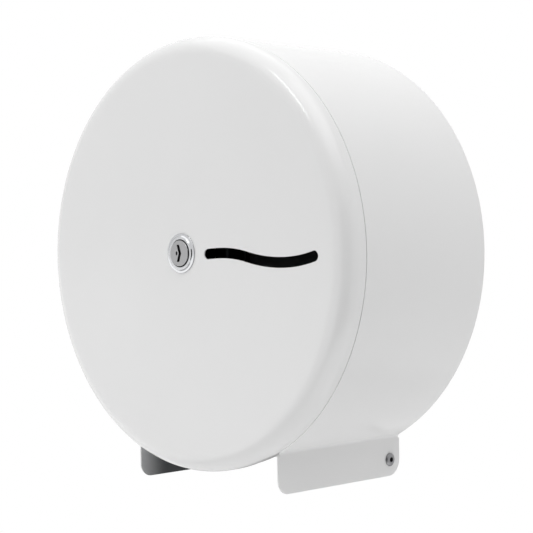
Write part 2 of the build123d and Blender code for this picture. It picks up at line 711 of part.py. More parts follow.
with BuildPart() as cam_screw:
    with BuildSketch(facing(cam_screw_seat - cam_screw_head_height, lock_x, lock_z)):
        Circle(cam_screw_head_radius)
    extrude(amount=cam_screw_head_height)
    with BuildSketch(facing(cam_screw_seat, lock_x, lock_z)):
        Circle(cam_screw_radius)
    extrude(amount=cam_screw_length)
    fillet(cam_screw.edges().group_by(Axis.Y)[-1], cam_screw_rounding)
cam_screw.part.label = "cam_screw"
export_step(cam_screw.part, "parts/cam_screw.step")
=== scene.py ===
# %% [markdown]
# # A jumbo toilet roll dispenser in white powder-coated steel
#
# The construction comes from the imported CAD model: every piece is already there at its real size
# and place. This lesson gives the pieces their finishes, models the ones that the eye studies
# again with finer curves and rounder edges, and sets up a soft studio around them.

# %% Load the frame
from math import asin, cos, degrees, pi, radians, sin, sqrt

import bmesh
import bpy
from mathutils import Matrix, Vector


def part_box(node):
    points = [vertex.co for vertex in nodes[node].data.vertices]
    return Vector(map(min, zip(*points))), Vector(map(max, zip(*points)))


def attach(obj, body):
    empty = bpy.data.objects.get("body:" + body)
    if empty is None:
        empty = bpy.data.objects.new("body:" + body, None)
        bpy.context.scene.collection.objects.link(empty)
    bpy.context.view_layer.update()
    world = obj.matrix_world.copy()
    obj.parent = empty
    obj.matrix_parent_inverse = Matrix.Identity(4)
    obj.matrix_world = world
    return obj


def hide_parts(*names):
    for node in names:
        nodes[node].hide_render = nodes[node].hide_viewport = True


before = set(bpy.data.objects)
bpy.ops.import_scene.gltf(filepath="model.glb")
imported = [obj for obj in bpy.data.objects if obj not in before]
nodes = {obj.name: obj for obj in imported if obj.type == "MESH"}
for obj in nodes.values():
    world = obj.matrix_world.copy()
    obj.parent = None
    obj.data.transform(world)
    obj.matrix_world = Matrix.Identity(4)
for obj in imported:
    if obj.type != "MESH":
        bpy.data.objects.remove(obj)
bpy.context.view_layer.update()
MM = 0.001

# %% [markdown]
# ## Camera
# The outline of a round drum seen from the side fixes a camera well: the front is one ellipse,
# the seam is another, and the flaps give the depth. The camera stands to the right of the
# dispenser at the height of its lock, with a long lens, and is turned by one degree.

# %% Camera
CAMERA_PLACE = Vector((686.74, -751.62, 0.44)) * MM
CAMERA_AZIMUTH = radians(44.682)
CAMERA_ELEVATION = radians(0.525)
CAMERA_ROLL = radians(-1.011)
FOCAL_PIXELS = 1525.84
PICTURE_PIXELS = 533
SENSOR_WIDTH = 36.0
CLIP_NEAR, CLIP_FAR = 0.05, 50


def aimed_axes(azimuth, elevation, roll):
    """Right, up and backward directions of a camera that looks along +Y at azimuth 0."""
    back = Vector((
        sin(azimuth) * cos(elevation), -cos(azimuth) * cos(elevation), sin(elevation)))
    right = Vector((0, 0, 1)).cross(back).normalized()
    up = back.cross(right)
    return (cos(roll) * right + sin(roll) * up, cos(roll) * up - sin(roll) * right, back)


camera_data = bpy.data.cameras.new("camera")
camera_data.sensor_width = SENSOR_WIDTH
camera_data.lens = SENSOR_WIDTH * FOCAL_PIXELS / PICTURE_PIXELS
camera_data.clip_start, camera_data.clip_end = CLIP_NEAR, CLIP_FAR
camera = bpy.data.objects.new("camera", camera_data)
bpy.context.scene.collection.objects.link(camera)
axes = Matrix(aimed_axes(CAMERA_AZIMUTH, CAMERA_ELEVATION, CAMERA_ROLL)).transposed()
camera.matrix_world = Matrix.Translation(CAMERA_PLACE) @ axes.to_4x4()
bpy.context.scene.camera = camera
bpy.context.scene.view_settings.view_transform = "Standard"
print("lens", round(camera_data.lens, 2), "mm")

# %% [markdown]
# ## Helpers for materials
# Colours are written as the hex values that a colour picker shows, and turned into the linear
# values that the renderer works in. One function adds a node with its settings and its links,
# and one starts a material with a single Principled shader. Two more do what every finish here
# needs: a tone that wanders between two colours, and the links to the shader. All patterns are
# in object coordinates, which are the dispenser's own, as each piece's origin is at zero.

# %% Colour and node helpers
NOISE = "ShaderNodeTexNoise"


def linear(hex_colour, share=1.0):
    """An sRGB hex colour, or a darker share of it, as linear RGBA."""
    channels = [int(hex_colour[i:i + 2], 16) / 255 for i in (1, 3, 5)]
    light = [c / 12.92 if c <= 0.04045 else ((c + 0.055) / 1.055) ** 2.4 for c in channels]
    return tuple(share * c for c in light) + (1.0,)


def add_node(tree, kind, settings=None, inputs=None):
    """A node with its settings and its inputs; an input that is a socket is linked."""
    node = tree.nodes.new(kind)
    for name, value in (settings or {}).items():
        setattr(node, name, value)
    for name, value in (inputs or {}).items():
        if isinstance(value, bpy.types.NodeSocket):
            tree.links.new(value, node.inputs[name])
        else:
            node.inputs[name].default_value = value
    return node


def new_material(name, inputs):
    """A material with one Principled shader; returns it, its tree, the shader and the place."""
    material = bpy.data.materials.new(name)
    material.use_nodes = True
    tree = material.node_tree
    tree.nodes.clear()
    shader = add_node(tree, "ShaderNodeBsdfPrincipled", inputs=inputs)
    add_node(tree, "ShaderNodeOutputMaterial", inputs={"Surface": shader.outputs["BSDF"]})
    return material, tree, shader, add_node(tree, "ShaderNodeTexCoord").outputs["Object"]


# %% Tone and surface
def cloudy_tone(tree, place, spacing, detail, first, second):
    """Noise whose blobs are about one spacing apart, and two colours blended by it."""
    cloud = add_node(tree, NOISE, inputs={
        "Vector": place, "Scale": 1 / spacing, "Detail": detail}).outputs["Fac"]
    tone = add_node(tree, "ShaderNodeMix", {"data_type": "RGBA"}, {
        "Factor": cloud, "A": first, "B": second}).outputs["Result"]
    return cloud, tone


def dress(tree, shader, tone, relief=None, gloss=None):
    """Links a tone, a relief (height, strength, depth) and a gloss (value, roughness, spread)."""
    tree.links.new(tone, shader.inputs["Base Color"])
    if relief:
        height, strength, depth = relief
        bump = add_node(tree, "ShaderNodeBump", inputs={
            "Height": height, "Strength": strength, "Distance": depth})
        tree.links.new(bump.outputs["Normal"], shader.inputs["Normal"])
    if gloss:
        value, roughness, spread = gloss
        wander = add_node(tree, "ShaderNodeMapRange", inputs={
            "Value": value, "To Min": roughness - spread, "To Max": roughness + spread})
        tree.links.new(wander.outputs["Result"], shader.inputs["Roughness"])


# %% [markdown]
# ## White powder coat
# The cover and the wall plate are steel sheet, sprayed with polyester powder and baked. The
# powder melts to a thick, smooth film: the photo's highlight on the rim has crisp edges, so the
# gloss is high, with only a faint orange peel of waves about 2 mm apart and a finer ripple on
# top. The film is a dielectric, so the colour is all base colour, and the gloss is a plain
# surface of IOR 1.5. The tone drifts by less than one percent over some centimetres, as a
# sprayed film does where it is thinner.

# %% Powder coat
PEEL_SPACING = 2.2 * MM
RIPPLE_SPACING = 0.6 * MM
RIPPLE_SHARE = 0.15
FILM_RELIEF = (0.08, 0.02 * MM)
FILM_GLOSS_SPREAD = 0.02
DRIFT_SPACING = 60 * MM


def powder_coat(name, colour, thin_colour, roughness):
    """A baked powder film: satin gloss, faint orange peel and a slow drift of tone."""
    material, tree, shader, place = new_material(name, {"IOR": 1.5})
    peel = add_node(tree, NOISE, inputs={
        "Vector": place, "Scale": 1 / PEEL_SPACING, "Detail": 1.0}).outputs["Fac"]
    ripple = add_node(tree, NOISE, inputs={
        "Vector": place, "Scale": 1 / RIPPLE_SPACING, "Detail": 0.0}).outputs["Fac"]
    film = add_node(tree, "ShaderNodeMath", {"operation": "MULTIPLY_ADD"}, {
        0: ripple, 1: RIPPLE_SHARE, 2: peel}).outputs[0]
    tone = cloudy_tone(tree, place, DRIFT_SPACING, 2.0, linear(thin_colour), linear(colour))[1]
    dress(tree, shader, tone, (film, *FILM_RELIEF), (peel, roughness, FILM_GLOSS_SPREAD))
    return material


white_coat = powder_coat("white_powder_coat", "#E9E9E9", "#E6E6E6", 0.20)
print("made", white_coat.name)

# %% [markdown]
# ## Painted shade and light inside the cover
# The inside of the cover is coloured a matt, very dark grey with soft clouds: painted shade for the
# dark inside of the drum, so the slot looks black. On the inside of the band the colour turns
# lighter towards the front edge of the two flaps, over the first centimetre or two, and fades to
# the rear: painted light, which the left flap shows as a lighter edge.

# %% Painted shade and light inside
PRIMER_CLOUD = 25 * MM
PRIMER_GRAIN = 0.5 * MM
PRIMER_RELIEF = (0.2, 0.02 * MM)
# Painted light: the inside of the band grows lighter from this depth to the front edge.
PAINTED_LIGHT_START = -90 * MM
PAINTED_LIGHT_FULL = -117 * MM


def painted_shade_inside(name, painted_light_colour=None):
    """A matt, very dark painted shade, if asked with painted light that grows towards the front
    edge.
    """
    material, tree, shader, place = new_material(name, {"IOR": 1.5, "Roughness": 0.7})
    # Painted shade: a very dark grey that stands in for the shade inside the drum.
    tone = cloudy_tone(tree, place, PRIMER_CLOUD, 4.0, linear("#343638"), linear("#3C3E40"))[1]
    # Painted light: a lighter colour blended in towards the front edge.
    if painted_light_colour:
        depth = add_node(tree, "ShaderNodeSeparateXYZ", inputs={"Vector": place}).outputs["Y"]
        painted_light = add_node(tree, "ShaderNodeMapRange", {"interpolation_type": "SMOOTHSTEP"}, {
            "Value": depth, "From Min": PAINTED_LIGHT_START, "From Max": PAINTED_LIGHT_FULL})
        tone = add_node(tree, "ShaderNodeMix", {"data_type": "RGBA"}, {
            "Factor": painted_light.outputs["Result"], "A": tone,
            "B": linear(painted_light_colour)}).outputs["Result"]
    grain = add_node(tree, NOISE, inputs={
        "Vector": place, "Scale": 1 / PRIMER_GRAIN, "Detail": 2.0}).outputs["Fac"]
    dress(tree, shader, tone, (grain, *PRIMER_RELIEF))
    return material


# Inside the cap: painted shade only.
cap_painted_shade = painted_shade_inside("painted_shade_inside")
# Inside the band: painted shade, with painted light towards the front edge.
band_painted_shade_and_light = painted_shade_inside("inside_painted_shade_and_light", "#A8A9AA")
print("made", cap_painted_shade.name, "and", band_painted_shade_and_light.name)

# %% [markdown]
# ## Plated metals
# The lock's ring is chromed, its plug is satin nickel, the rivets and most of the inner works are
# bright zinc plate. The keeper and the retainer disc, right behind the slot, are zinc darkened to
# near black: painted shade for the dark inside of the drum. The barrel of the lock is a dark
# casting, and its colour in the gap round the plug is painted shade. All are bare metal to the eye:
# the base colour is the colour of the reflection, and what tells them apart is the roughness. The
# plating is never even, so tone and gloss wander a little over a few millimetres, and turned pieces
# keep fine lathe grooves.

# %% Metals
THIN_PLATE_SHARE = 0.85
PLATE_GRAIN = 0.3 * MM
PLATE_RELIEF = (0.1, 0.01 * MM)
PLATE_GLOSS_SPREAD = 0.05


def plated_metal(name, colour, roughness, cloud_spacing, grooves=0.0):
    """A plated metal with wandering tone and gloss, and if asked with lathe grooves."""
    material, tree, shader, place = new_material(name, {"Metallic": 1.0})
    cloud, tone = cloudy_tone(
        tree, place, cloud_spacing, 3.0, linear(colour, THIN_PLATE_SHARE), linear(colour))
    if grooves:
        wave = {"wave_type": "BANDS", "bands_direction": "Y"}
        height = add_node(tree, "ShaderNodeTexWave", wave, {
            "Vector": place, "Scale": 1 / grooves, "Distortion": 1.5, "Detail": 2.0}).outputs["Fac"]
    else:
        height = add_node(tree, NOISE, inputs={
            "Vector": place, "Scale": 1 / PLATE_GRAIN, "Detail": 2.0}).outputs["Fac"]
    dress(tree, shader, tone, (height, *PLATE_RELIEF), (cloud, roughness, PLATE_GLOSS_SPREAD))
    return material


chrome = plated_metal("bright_chrome", "#C9CACC", 0.12, 3 * MM)
nickel = plated_metal("satin_nickel", "#9E9E9F", 0.34, 2 * MM)
zinc = plated_metal("bright_zinc", "#C4C8CC", 0.30, 4 * MM)
rivet_steel = plated_metal("rivet_steel", "#8C8C8E", 0.36, 1 * MM)
spindle_steel = plated_metal("turned_steel", "#BFC2C5", 0.28, 5 * MM, grooves=0.4 * MM)
# Painted shade: zinc darkened to near black for the parts in the dark behind the slot.
zinc_darkened_as_shade = plated_metal("zinc_darkened_as_painted_shade", "#303234", 0.48, 4 * MM)
# The lock barrel's own dark casting; the same colour also serves as painted shade in the gap round
# the plug.
dark_casting_and_gap_shade = plated_metal("dark_casting_and_painted_gap_shade", "#2C2D2F", 0.55, 2 * MM)
metals = (chrome, nickel, zinc, rivet_steel, spindle_steel, zinc_darkened_as_shade, dark_casting_and_gap_shade)
print("metals", [metal.name for metal in metals])

# %% [markdown]
# ## Moulded pieces
# The hub is grey ABS from a spark-eroded mould, the washers are natural nylon and the buffer is
# black rubber. Each has a fine random grain that breaks up its soft highlights.

# %% Plastics and rubber
DEEP_TONE_SHARE = 0.9
MOULD_CLOUD = 12 * MM
MOULD_STRENGTH = 0.3
MOULD_GLOSS_SPREAD = 0.06


def moulded(name, colour, roughness, grain, depth):
    """A moulded plastic or rubber with the fine grain of its mould."""
    material, tree, shader, place = new_material(name, {"IOR": 1.5})
    speckle = add_node(tree, NOISE, inputs={
        "Vector": place, "Scale": 1 / grain, "Detail": 4.0}).outputs["Fac"]
    tone = cloudy_tone(
        tree, place, MOULD_CLOUD, 2.0, linear(colour, DEEP_TONE_SHARE), linear(colour))[1]
    dress(tree, shader, tone, (speckle, MOULD_STRENGTH, depth),
          (speckle, roughness, MOULD_GLOSS_SPREAD))
    return material


grey_abs = moulded("grey_abs", "#4A4C4E", 0.50, 0.5 * MM, 0.03 * MM)
nylon = moulded("natural_nylon", "#E6E3DA", 0.45, 0.8 * MM, 0.02 * MM)
rubber = moulded("black_rubber", "#222222", 0.75, 0.6 * MM, 0.04 * MM)
print("plastics", [plastic.name for plastic in (grey_abs, nylon, rubber)])

# %% [markdown]
# ## Finishes for the CAD nodes
# Every CAD node gets its finish first, also the ones that a modelled piece stands for later, so
# nothing is left plain whatever is shown.

# %% Finish the CAD nodes
node_finish = {name: (zinc, "zinc_plate") for name in nodes}
for name in ("front_cap", "drum_band", "back_plate"):
    node_finish[name] = (white_coat, "white_powder_coat")
for name in ("hinge_rivets", "spindle_rivets"):
    node_finish[name] = (rivet_steel, "rivet_steel")
for name in ("thrust_washer", "hinge_washers"):
    node_finish[name] = (nylon, "white_nylon")
# The keeper and the retainer disc get the darkened zinc: painted shade.
for name in ("keeper_bracket", "retainer_disc"):
    node_finish[name] = (zinc_darkened_as_shade, "zinc_plate")
node_finish["lock_body"] = (chrome, "chromed_zinc")
node_finish["lock_plug"] = (nickel, "nickelled_brass")
node_finish["roll_hub"] = (grey_abs, "grey_abs")
node_finish["cover_buffer"] = (rubber, "black_rubber")
node_finish["spindle_tube"] = (spindle_steel, "zinc_plate")
for name, (material, record_slot) in node_finish.items():
    nodes[name].data.materials.clear()
    nodes[name].data.materials.append(material)
print("finished", len(node_finish), "nodes")

# %% [markdown]
# ## Helpers for modelling
# Each new piece starts as a primitive at its real place. Its place is applied at once, so the
# object stays at the origin and all later work is in the dispenser's own coordinates. Edges and
# faces are picked by where their corners lie. Blocks and rods serve as cutters.

# %% Modelling helpers
TOUCH = 0.01 * MM
SHARP_EDGE = radians(40)
SMOOTH_BELOW = radians(32)
FACING_USER = (pi / 2, 0, 0)
ALONG_X = (0, pi / 2, 0)


def select_only(piece):
    """Selects one piece and makes it active."""
    bpy.ops.object.select_all(action="DESELECT")
    piece.select_set(True)
    bpy.context.view_layer.objects.active = piece


def begin(name, add_primitive, scale=(1, 1, 1), **settings):
    """Adds a primitive, puts its place and size into its mesh and opens it for editing."""
    bpy.ops.object.select_all(action="DESELECT")
    add_primitive(**settings)
    piece = bpy.context.object
    piece.name = name
    piece.scale = scale
    bpy.ops.object.transform_apply(location=True, rotation=True, scale=True)
    bpy.ops.object.mode_set(mode="EDIT")
    return piece


def block(name, size, middle):
    """A block, left in object mode."""
    piece = begin(name, bpy.ops.mesh.primitive_cube_add, scale=size, size=1, location=middle)
    bpy.ops.object.mode_set(mode="OBJECT")
    return piece


def rod(name, radius, length, middle, steps, rotation=FACING_USER, scale=(1, 1, 1)):
    """A rod that points at the user unless it is rotated, left in object mode."""
    piece = begin(name, bpy.ops.mesh.primitive_cylinder_add, scale=scale, vertices=steps,
                  radius=radius, depth=length, location=middle, rotation=rotation)
    bpy.ops.object.mode_set(mode="OBJECT")
    return piece


# %% Helpers for edit mode
def pick(piece, kind, test=lambda place: True):
    """Selects the vertices, edges or faces whose corners all pass a test of their place."""
    bpy.ops.mesh.select_all(action="DESELECT")
    bpy.ops.mesh.select_mode(type=kind)
    mesh = bmesh.from_edit_mesh(piece.data)
    for item in {"VERT": mesh.verts, "EDGE": mesh.edges, "FACE": mesh.faces}[kind]:
        corners = [item] if kind == "VERT" else item.verts
        if all(test(corner.co) for corner in corners):
            item.select_set(True)
    mesh.select_flush_mode()
    bmesh.update_edit_mesh(piece.data)


def push(x=0.0, y=0.0, z=0.0):
    """Extrudes the selected edges by a step."""
    bpy.ops.mesh.extrude_edges_move(TRANSFORM_OT_translate={"value": (x, y, z)})


def close_shell(piece):
    """Merges doubled corners, turns all faces outwards and leaves edit mode."""
    pick(piece, "VERT")
    bpy.ops.mesh.remove_doubles(threshold=TOUCH)
    bpy.ops.mesh.normals_make_consistent(inside=False)
    bpy.ops.object.mode_set(mode="OBJECT")


# %% Helpers for finished shapes
def apply_modifier(piece, kind, **settings):
    """Adds a modifier with its settings and applies it."""
    modifier = piece.modifiers.new(kind, kind)
    for name, value in settings.items():
        setattr(modifier, name, value)
    bpy.context.view_layer.objects.active = piece
    bpy.ops.object.modifier_apply(modifier=modifier.name)


def cut(piece, cutter):
    """Takes a closed cutter out of a piece."""
    apply_modifier(piece, "BOOLEAN", object=cutter, operation="DIFFERENCE", solver="EXACT")
    bpy.data.objects.remove(cutter)


def round_edges(piece, width, segments=2):
    """Rounds every sharp edge."""
    apply_modifier(piece, "BEVEL", width=width, segments=segments, limit_method="ANGLE",
                   angle_limit=SHARP_EDGE)


def stand_for(piece, body, node_name):
    """Shades a finished piece, puts it on its body and lets it stand for a CAD node."""
    select_only(piece)
    bpy.ops.object.shade_smooth_by_angle(angle=SMOOTH_BELOW)
    apply_modifier(piece, "WEIGHTED_NORMAL", keep_sharp=True)
    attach(piece, body)
    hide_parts(node_name)
    low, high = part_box(node_name)
    print(piece.name, "stands for", node_name, "with", len(piece.data.polygons),
          "faces; node", [round(side / MM, 1) for side in high - low])


# %% [markdown]
# ## Front cap
# The cap is drawn from one disc of steel: a flat face, a rim rounded to 12 mm, a short skirt and
# a lip set in by a joggle so that the band can slide over it. It could be lathed from its
# section, but by hand it is quicker as a disc whose edge is pushed back, then bevelled. With 360
# sides and 20 bevel steps the outline and the highlight on the rim stay smooth.

# %% Front cap: disc, skirt and rounded rim
ROUND_STEPS = 360
RIM_STEPS = 20
DRUM_RADIUS = 132.5 * MM
FRONT_DEPTH = 128.5 * MM
CAP_DEPTH = 16.1 * MM
RIM_RADIUS = 12.0 * MM
SHEET = 1.0 * MM
JOGGLE = 0.5 * MM
LIP_LENGTH = 8.0 * MM
LIP_RADIUS = 131.4 * MM
CAP_EDGE_DEPTH = FRONT_DEPTH - CAP_DEPTH
FACE_BORDER = 2 * MM

cap = begin("cap_shell", bpy.ops.mesh.primitive_circle_add, vertices=ROUND_STEPS,
            radius=DRUM_RADIUS, fill_type="NGON", location=(0, -FRONT_DEPTH, 0),
            rotation=FACING_USER)
pick(cap, "EDGE")
push(y=CAP_DEPTH)
pick(cap, "EDGE", lambda place: place.y < -FRONT_DEPTH + TOUCH)
bpy.ops.mesh.bevel(offset=RIM_RADIUS, segments=RIM_STEPS, profile=0.5, affect="EDGES")
print("cap with rim", len(bmesh.from_edit_mesh(cap.data).faces), "faces")

# %% Front cap: joggled lip
pick(cap, "EDGE", lambda place: place.y > -CAP_EDGE_DEPTH - TOUCH)
push(y=JOGGLE)
bpy.ops.transform.resize(value=(LIP_RADIUS / DRUM_RADIUS, 1, LIP_RADIUS / DRUM_RADIUS),
                         center_override=(0, -CAP_EDGE_DEPTH, 0))
push(y=LIP_LENGTH)
pick(cap, "FACE", lambda place: place.y < -FRONT_DEPTH + TOUCH)
bpy.ops.mesh.inset(thickness=FACE_BORDER)
close_shell(cap)
cap.data.materials.append(white_coat)
cap.data.materials.append(cap_painted_shade)
apply_modifier(cap, "SOLIDIFY", thickness=SHEET, offset=-1, use_even_offset=True,
               material_offset=1)
print("cap sheet", len(cap.data.polygons), "faces")

# %% [markdown]
# ## Viewing slot
# The slot shows how much paper is left. Its centre line is a wave of four arcs, level at the
# crest and at the trough. The cutter is one upright edge at the crest, swept along the arcs with
# spin. Each end is pushed out by half the width and its two corners are rounded until they meet.

# %% Slot: the wave
SLOT_WIDTH = 6.2 * MM
SLOT_LEFT_END = 18.1 * MM
SLOT_RIGHT_END = 110.9 * MM
CREST = Vector((33.4, 0, 0.6)) * MM
CREST_TO_TROUGH = 49.0 * MM
LEFT_RADIUS = 150 * MM
FALL_RADIUS = 88 * MM
TROUGH_RADIUS = 117 * MM
RIGHT_RADIUS = 97 * MM
LEFT_STEPS = 8
WAVE_STEPS = 16
END_STEPS = 12
NEARLY_HALF = 0.499
CUT_THROUGH = 6 * MM

fall_radii = FALL_RADIUS + TROUGH_RADIUS
fall_angle = asin(CREST_TO_TROUGH / fall_radii)
trough = CREST + Vector((CREST_TO_TROUGH, 0, -fall_radii * (1 - cos(fall_angle))))
left_angle = asin((CREST.x - SLOT_LEFT_END - SLOT_WIDTH / 2) / LEFT_RADIUS)
right_angle = asin((SLOT_RIGHT_END - SLOT_WIDTH / 2 - trough.x) / RIGHT_RADIUS)
UP = Vector((0, 0, 1))


def sweep(angle, centre, steps):
    """Spins the selected edge round a centre; a positive angle is anticlockwise for the user."""
    bpy.ops.mesh.spin(steps=steps, angle=angle, center=centre, axis=(0, 1, 0))


def round_end(x, z):
    """Pushes the selected edge out by half the width, along (x, z), and rounds its corners."""
    push(x=SLOT_WIDTH / 2 * x, z=SLOT_WIDTH / 2 * z)
    bpy.ops.mesh.select_mode(type="VERT")
    bpy.ops.mesh.bevel(offset=NEARLY_HALF * SLOT_WIDTH, segments=END_STEPS, affect="VERTICES")


# %% Slot: left end
slot_cutter = begin("slot_cutter", bpy.ops.mesh.primitive_plane_add, size=SLOT_WIDTH,
                    location=CREST - Vector((SLOT_WIDTH / 2, FRONT_DEPTH, 0)),
                    rotation=FACING_USER)
pick(slot_cutter, "VERT", lambda place: place.x < CREST.x - TOUCH)
bpy.ops.mesh.delete(type="VERT")
pick(slot_cutter, "EDGE")
sweep(left_angle, CREST - LEFT_RADIUS * UP, LEFT_STEPS)
round_end(-cos(left_angle), -sin(left_angle))
print("left end rounded; falls by", round((CREST.z - trough.z) / MM, 2), "mm to the trough")

# %% Slot: right end and cut
pick(slot_cutter, "EDGE", lambda place: abs(place.x - CREST.x) < TOUCH)
sweep(-fall_angle, CREST - FALL_RADIUS * UP, WAVE_STEPS)
sweep(fall_angle, trough + TROUGH_RADIUS * UP, WAVE_STEPS)
sweep(right_angle, trough + RIGHT_RADIUS * UP, WAVE_STEPS)
round_end(cos(right_angle), sin(right_angle))
close_shell(slot_cutter)
apply_modifier(slot_cutter, "SOLIDIFY", thickness=CUT_THROUGH, offset=0)
cut(cap, slot_cutter)
print("cap with slot", len(cap.data.polygons), "faces")

# %% [markdown]
# ## Hole for the lock
# The lock's barrel has two flats, so the hole in the cap is round with two straight sides. The
# cutter is a disc that two bisect cuts trim.

# %% Lock hole
LOCK_X = -2.0 * MM
LOCK_Z = 0.9 * MM
HOLE_RADIUS = 9.6 * MM
HOLE_FLAT = 8.3 * MM
CAP_EDGE_ROUNDING = 0.22 * MM

hole_cutter = begin("hole_cutter", bpy.ops.mesh.primitive_cylinder_add, vertices=96,
                    radius=HOLE_RADIUS, depth=CUT_THROUGH, rotation=FACING_USER,
                    location=(LOCK_X, -FRONT_DEPTH, LOCK_Z))
for side in (1, -1):
    pick(hole_cutter, "FACE")
    bpy.ops.mesh.bisect(plane_co=(LOCK_X + side * HOLE_FLAT, 0, 0), plane_no=(side, 0, 0),
                        clear_outer=True, use_fill=True)
close_shell(hole_cutter)
cut(cap, hole_cutter)
round_edges(cap, CAP_EDGE_ROUNDING)
stand_for(cap, "cover", "front_cap")

# %% [markdown]
# ## Drum band and flaps
# The band is one strip, rolled to the drum with both ends bent down as flaps beside the paper
# outlet. The right flap is modelled flat with its rounded corners and mirrored to the left. Then
# the flap's upper edge is swept along the whole drum with three spins until it meets the other
# flap: out round the bend, round the drum, and in round the other bend.

# %% Flap
BAND_REAR_DEPTH = 3.5 * MM
BAND_FRONT_DEPTH = 111.8 * MM
FLAP_REAR_DEPTH = 2.3 * MM
FLAP_FRONT_DEPTH = 113.1 * MM
FLAP_X = 62 * MM
FLAP_BOTTOM = -142.4 * MM
FRONT_CORNER = 8.5 * MM
REAR_CORNER = 10.5 * MM
CORNER_STEPS = 16
BEND_RADIUS = 3.0 * MM
BEND_X = FLAP_X + BEND_RADIUS
BEND_Z = -sqrt((DRUM_RADIUS + BEND_RADIUS) ** 2 - BEND_X ** 2)


def at_lower_corner(place, depth):
    """True at the flap's lower corner of the given depth."""
    return place.z < FLAP_BOTTOM + TOUCH and abs(place.y + depth) < TOUCH


band = begin("band_shell", bpy.ops.mesh.primitive_plane_add, size=1)
bpy.ops.transform.resize(value=(BEND_Z - FLAP_BOTTOM, FLAP_FRONT_DEPTH - FLAP_REAR_DEPTH, 1))
bpy.ops.transform.rotate(value=-pi / 2, orient_axis="Y", center_override=(0, 0, 0))
bpy.ops.transform.translate(value=(
    FLAP_X, -(FLAP_FRONT_DEPTH + FLAP_REAR_DEPTH) / 2, (BEND_Z + FLAP_BOTTOM) / 2))
for depth, corner in ((FLAP_FRONT_DEPTH, FRONT_CORNER), (FLAP_REAR_DEPTH, REAR_CORNER)):
    pick(band, "VERT", lambda place: at_lower_corner(place, depth))
    bpy.ops.mesh.bevel(offset=corner, segments=CORNER_STEPS, affect="VERTICES")
for depth in (BAND_FRONT_DEPTH, BAND_REAR_DEPTH):
    pick(band, "FACE")
    bpy.ops.mesh.bisect(plane_co=(0, -depth, 0), plane_no=(0, 1, 0))
pick(band, "FACE")
bpy.ops.mesh.duplicate()
bpy.ops.transform.resize(value=(-1, 1, 1), center_override=(0, 0, 0))
print("two flaps", len(bmesh.from_edit_mesh(band.data).faces), "faces")

# %% Drum
BEND_STEPS = 8
DRUM_STEPS = 300
bend_turn = pi / 2 - asin(BEND_X / (DRUM_RADIUS + BEND_RADIUS))


def on_upper_edge(place):
    """True on the part of the right flap's upper edge that goes on into the drum."""
    in_band = -BAND_FRONT_DEPTH - TOUCH < place.y < -BAND_REAR_DEPTH + TOUCH
    return in_band and place.x > 0 and place.z > BEND_Z - TOUCH


pick(band, "EDGE", on_upper_edge)
sweep(-bend_turn, (BEND_X, 0, BEND_Z), BEND_STEPS)
sweep(pi + 2 * bend_turn, (0, 0, 0), DRUM_STEPS)
sweep(-bend_turn, (-BEND_X, 0, BEND_Z), BEND_STEPS)
close_shell(band)
print("band", len(band.data.polygons), "faces; bend", round(degrees(bend_turn), 2), "degrees")

# %% Sheet thickness and rivet holes
HINGE_DEPTH = 12.0 * MM
HINGE_Z = -132.0 * MM
RIVET_HOLE_RADIUS = 2.45 * MM
BAND_EDGE_ROUNDING = 0.42 * MM

top_face = max(band.data.polygons, key=lambda face: face.center.z)
assert top_face.normal.z > 0
band.data.materials.append(white_coat)
band.data.materials.append(band_painted_shade_and_light)
apply_modifier(band, "SOLIDIFY", thickness=SHEET, offset=-1, use_even_offset=True,
               material_offset=1)
cut(band, rod("rivet_drill", RIVET_HOLE_RADIUS, 3 * FLAP_X, (0, -HINGE_DEPTH, HINGE_Z),
              steps=64, rotation=ALONG_X))
round_edges(band, BAND_EDGE_ROUNDING, segments=3)
stand_for(band, "cover", "drum_band")

# %% [markdown]
# ## Turned pieces
# The lock and the rivets are turned or cold-formed about an axis. A ring is pushed and resized
# from one point of the section to the next, which is how a lathe hand reads a drawing: a list of
# depths and radii. The section may end on the axis side open, closed by a face, or run back to
# its start, which closes the piece by merging.

# %% Lathe helper
def turned(name, section, centre=(0, 0), steps=96, filled=False):
    """A turned piece from (depth, radius) pairs in millimetres, about an axis along Y."""
    depth, radius = section[0]
    x, z = centre
    piece = begin(name, bpy.ops.mesh.primitive_circle_add, vertices=steps, radius=radius * MM,
                  fill_type="NGON" if filled else "NOTHING", location=(x, -depth * MM, z),
                  rotation=FACING_USER)
    pick(piece, "EDGE")
    for next_depth, next_radius in section[1:]:
        push(y=(depth - next_depth) * MM)
        growth = next_radius / radius
        bpy.ops.transform.resize(value=(growth, 1, growth),
                                 center_override=(x, -next_depth * MM, z))
        depth, radius = next_depth, next_radius
    if filled:
        bpy.ops.mesh.edge_face_add()
    close_shell(piece)
    return piece


def arc(centre, radius, start, end, steps):
    """Points of an arc in a section: angle 0 points to larger depth, 90 away from the axis."""
    turns = [radians(start + (end - start) * step / steps) for step in range(steps + 1)]
    return [(centre[0] + radius * cos(turn), centre[1] + radius * sin(turn)) for turn in turns]


# %% [markdown]
# ## Lock ring
# A chromed die-casting: a flat flange on the cap, a chamfer, a raised ring round the plug, and
# behind the cap a threaded barrel with two flats. The chamfer mirrors the dark side of the
# studio as the second dark arc of the photo. Plating hardly reaches behind the cap, so the bare
# dark casting shows there; the gap round the plug gets the same dark colour as painted shade.
# The thread is modelled as plain ridges, one millimetre apart, because it is only seen with the
# cover open.

# %% Lock ring: section and turning
BARREL_REAR = 108.5
BORE_RADIUS = 6.06
THREAD_START = 109.2
THREAD_TURNS = 17
THREAD_PITCH = 1.0
THREAD_CREST = 9.5
THREAD_ROOT = 8.95
CAP_FACE = 128.5
FLANGE_RADIUS = 12.0
GAP_FLOOR = 128.8
GAP_RADIUS = 8.45
LOCK_CENTRE = (LOCK_X, LOCK_Z)
LOCK_STEPS = 128

